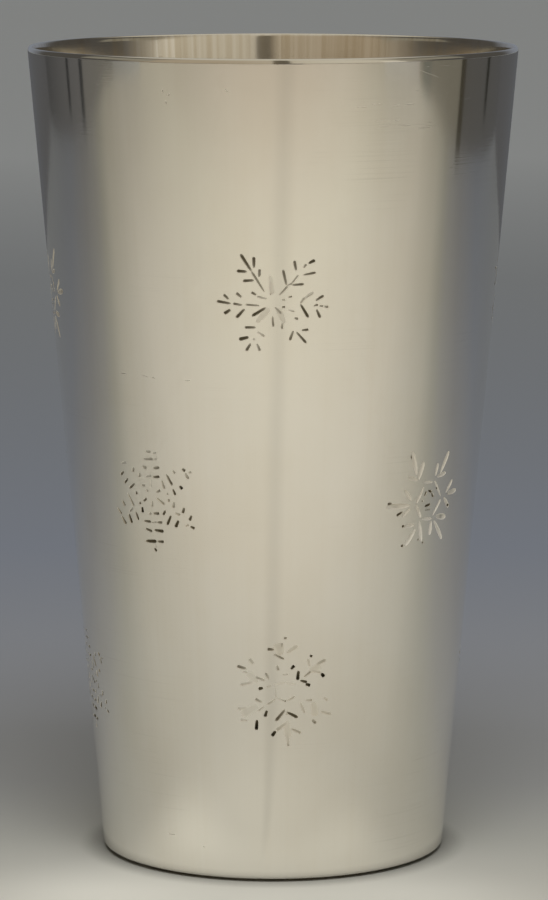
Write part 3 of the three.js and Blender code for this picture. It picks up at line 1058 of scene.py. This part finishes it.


# glowing cards that only the silver sees, which paint light and dark into its reflections: both ends in
# plan, lower and upper edge, shade at each end
cards = {
    "leftCornerFlag": ((-0.61, -0.312), (-0.7, -0.141), (0, 0.1), (0.28, 0.28, 0.265), (0.18, 0.18, 0.17)),
    "leftFrontFlag": ((-0.7, -0.141), (-0.717, -0.075), (0, 0.1), (0.13, 0.127, 0.115), (0.13, 0.124, 0.11)),
    "leftSideFlag": ((-0.717, -0.075), (-0.7, 0.11), (0, 0.1), (0.13, 0.124, 0.11), (0.125, 0.12, 0.112)),
    "leftHighFlag": ((-0.68, -0.45), (-0.71, 0.11), (0.24, 0.55), (0.25, 0.23, 0.18), (0.2, 0.19, 0.155)),
    "leftFlag": ((-0.7, 0.11), (-0.69, 0.62), (0, 0.1), (0.105, 0.103, 0.102), (0.055, 0.055, 0.056)),
    "leftRearFlag": ((-0.69, 0.62), (-0.13, 0.95), (0, 0.1), (0.08, 0.08, 0.083), (0.1, 0.104, 0.112)),
    "rightCornerFlag": ((0.519, -0.407), (0.6, -0.313), (0, 0.1), (0.37, 0.36, 0.34), (0.36, 0.35, 0.33)),
    "rightFrontFlag": ((0.6, -0.313), (0.652, -0.228), (0, 0.1), (0.36, 0.35, 0.33), (0.3, 0.28, 0.25)),
    "rightSideFlag": ((0.652, -0.228), (0.667, -0.11), (0, 0.1), (0.16, 0.148, 0.118), (0.15, 0.14, 0.112)),
    "rightRunFlag": ((0.667, -0.11), (0.668, 0.1), (0, 0.1), (0.15, 0.14, 0.112), (0.145, 0.135, 0.108)),
    "rightHighFlag": ((0.6, -0.35), (0.68, 0.1), (0.24, 0.55), (0.25, 0.23, 0.18), (0.2, 0.19, 0.155)),
    "rightFill": ((0.635, -0.33), (0.55, -0.46), (0.14, 0.3), (0.55, 0.52, 0.45), (0.6, 0.56, 0.47)),
    "rightFlag": ((0.665, 0.1), (0.66, 0.62), (0, 0.1), (0.078, 0.075, 0.07), (0.075, 0.075, 0.076)),
    "rightRearFlag": ((0.66, 0.62), (0.13, 0.95), (0, 0.1), (0.08, 0.08, 0.083), (0.1, 0.104, 0.112)),
    "leftStandFar": ((-0.68, 0.235), (-0.68, 0.262), (0.012, 0.1), (0.02, 0.02, 0.02), (0.03, 0.03, 0.03)),
    "leftStandNear": ((-0.68, 0.1), (-0.68, 0.13), (0.004, 0.1), (0.04, 0.04, 0.04), (0.022, 0.022, 0.022)),
    "rightStandNear": ((0.65, 0.075), (0.65, 0.115), (0, 0.1), (0.034, 0.03, 0.02), (0.05, 0.045, 0.035)),
    "rightStandFar": ((0.65, 0.345), (0.65, 0.38), (0.016, 0.1), (0.03, 0.03, 0.025), (0.01, 0.01, 0.008)),
    "rightBlock": ((0.64, -0.198), (0.645, -0.145), (0.003, 0.024), (0.105, 0.11, 0.09), (0.12, 0.118, 0.1)),
    "frontStand": ((0.0, -0.76), (0.105, -0.76), (0, 0.9), (0.12, 0.1, 0.07), (0.1, 0.088, 0.066)),
    "frontBlock": ((0.03, -0.75), (0.186, -0.75), (0, 0.15), (0.1, 0.09, 0.08), (0.09, 0.09, 0.09)),
}


def standAside(card):
    card.visible_camera = False
    card.visible_diffuse = False
    card.visible_shadow = False


def startBareMaterial(name):
    material = bpy.data.materials.new(name)
    material.use_nodes = True
    material.node_tree.nodes.clear()
    return material, material.node_tree


def makeCard(name, start, end, edges, startShade, endShade):
    low, high = edges
    startPlace, endPlace = Vector((*start, low)), Vector((*end, low))
    run = endPlace - startPlace
    middle = (startPlace + endPlace) / 2 + Vector((0, 0, (high - low) / 2))
    bm = bmesh.new()
    bmesh.ops.create_grid(bm, x_segments=1, y_segments=1, size=0.5)
    bmesh.ops.rotate(bm, verts=bm.verts[:], matrix=upright)
    bmesh.ops.scale(bm, verts=bm.verts[:], vec=(run.length, 1, high - low))
    bmesh.ops.rotate(bm, verts=bm.verts[:], matrix=Matrix.Rotation(math.atan2(run.y, run.x), 3, "Z"))
    bmesh.ops.translate(bm, verts=bm.verts[:], vec=middle)
    material, tree = startBareMaterial(name)
    offset = vectorNode(tree, "SUBTRACT", {0: objectPlace(tree), 1: startPlace})[0]
    along = vectorNode(tree, "DOT_PRODUCT", {0: offset, 1: run / run.length_squared})["Value"]
    shade = mixColours(tree, along, (*startShade, 1), (*endShade, 1))
    # the card glows with its shade though it is no lamp: a painted reflection for the silver
    glow = addNode(tree, "ShaderNodeEmission", {"Color": shade, "Strength": 1.0})
    addNode(tree, "ShaderNodeOutputMaterial", {"Surface": glow.outputs[0]})
    standAside(addObject(name, bm, [material]))


def makeCards():
    for name, card in cards.items():
        makeCard(name, *card)


# a grey gel lying in front, which only the silver sees: it paints a faint shaded band into the silver's
# reflection of the floor, which widens and bends to the right
gel = {
    "near": -0.032,
    "far": -0.74,
    "halfWidth": 0.24,
    "lift": 0.3 * mm,
    "start": (-0.003, -0.03),  # point from which its edges part
    "bend": 0.2,
    "spread": 0.13,
    "shade": 0.1,
    "fadeIn": 0.03,
    "leastAhead": 0.01,  # keeps the band from narrowing to nothing
}


def makeGel():
    reach = gel["near"] - gel["far"]
    bm = bmesh.new()
    bmesh.ops.create_grid(bm, x_segments=1, y_segments=1, size=0.5)
    bmesh.ops.scale(bm, verts=bm.verts[:], vec=(2 * gel["halfWidth"], reach, 1))
    bmesh.ops.translate(bm, verts=bm.verts[:], vec=(0, gel["far"] + reach / 2, gel["lift"]))
    material, tree = startBareMaterial("paintedShadeGel")
    place = addNode(tree, "ShaderNodeSeparateXYZ", {0: objectPlace(tree)}).outputs
    startX, startY = gel["start"]
    ahead = mathNode(tree, "SUBTRACT", startY, place[1])
    bend = mathNode(tree, "MULTIPLY", mathNode(tree, "MULTIPLY", ahead, ahead), gel["bend"])
    offLine = mathNode(tree, "SUBTRACT", mathNode(tree, "SUBTRACT", place[0], startX), bend)
    width = mathNode(tree, "MAXIMUM", ahead, gel["leastAhead"])
    share = mathNode(tree, "DIVIDE", mathNode(tree, "ABSOLUTE", offLine), width)
    faded = softStep(tree, ahead, 0, gel["fadeIn"])
    inside = mathNode(tree, "MULTIPLY", softStep(tree, share, gel["spread"], 0), faded)
    clear = mathNode(tree, "SUBTRACT", 1.0, mathNode(tree, "MULTIPLY", inside, gel["shade"]))
    # the film's tint paints shade into what the silver reflects through it
    film = addNode(tree, "ShaderNodeBsdfTransparent", {"Color": clear})
    addNode(tree, "ShaderNodeOutputMaterial", {"Surface": film.outputs[0]})
    standAside(addObject("paintedShadeGel", bm, [material]))


# a broad lamp over the front, so shadows stay soft
light = {
    "place": (0.035, -0.42, 0.75),
    "side": 0.45,
    "power": 4.4,
}


def makeLamp():
    data = bpy.data.lights.new("softLamp", "AREA")
    data.shape = "SQUARE"
    data.size = light["side"]
    data.energy = light["power"]
    lamp = bpy.data.objects.new("softLamp", data)
    lamp.location = light["place"]
    lamp.visible_glossy = False
    lamp.visible_camera = False
    bpy.context.collection.objects.link(lamp)


# what the silver and the floor see above the table: paler on the front right, dark at the sides
room = {
    "overhead": (0.5, 0.47, 0.4, 1),
    "frontRight": (0.5, 0.46, 0.375, 1),
    "frontLeft": (0.35, 0.295, 0.215, 1),
    "sides": (0.066, 0.062, 0.056, 1),
    "behind": (0.2, 0.216, 0.25, 1),
    # a direction's share forwards, back, up or to the right, where each of these starts and is full
    "frontLimits": (0.1, 0.68),
    "behindLimits": (0.7, 0.95),
    "overheadLimits": (0.62, 0.85),
    "rightLimits": (-0.5, 0.45),
}


def makeRoom():
    world = bpy.data.worlds.new("room")
    bpy.context.scene.world = world
    world.use_nodes = True
    tree = world.node_tree
    backing = tree.nodes["Background"]
    aim = addNode(tree, "ShaderNodeTexCoord").outputs["Generated"]
    parts = addNode(tree, "ShaderNodeSeparateXYZ", {0: aim}).outputs
    front = softStep(tree, mathNode(tree, "MULTIPLY", parts[1], -1), *room["frontLimits"])
    behind = softStep(tree, parts[1], *room["behindLimits"])
    overhead = softStep(tree, parts[2], *room["overheadLimits"])
    right = softStep(tree, parts[0], *room["rightLimits"])
    ahead = mixColours(tree, right, room["frontLeft"], room["frontRight"])
    colour = mixColours(tree, front, room["sides"], ahead)
    colour = mixColours(tree, behind, colour, room["behind"])
    colour = mixColours(tree, overhead, colour, room["overhead"])
    tree.links.new(colour, backing.inputs["Color"])
    backing.inputs["Strength"].default_value = 1


makeFloor()
makeCards()
makeGel()
makeLamp()
makeRoom()
print("studio set")
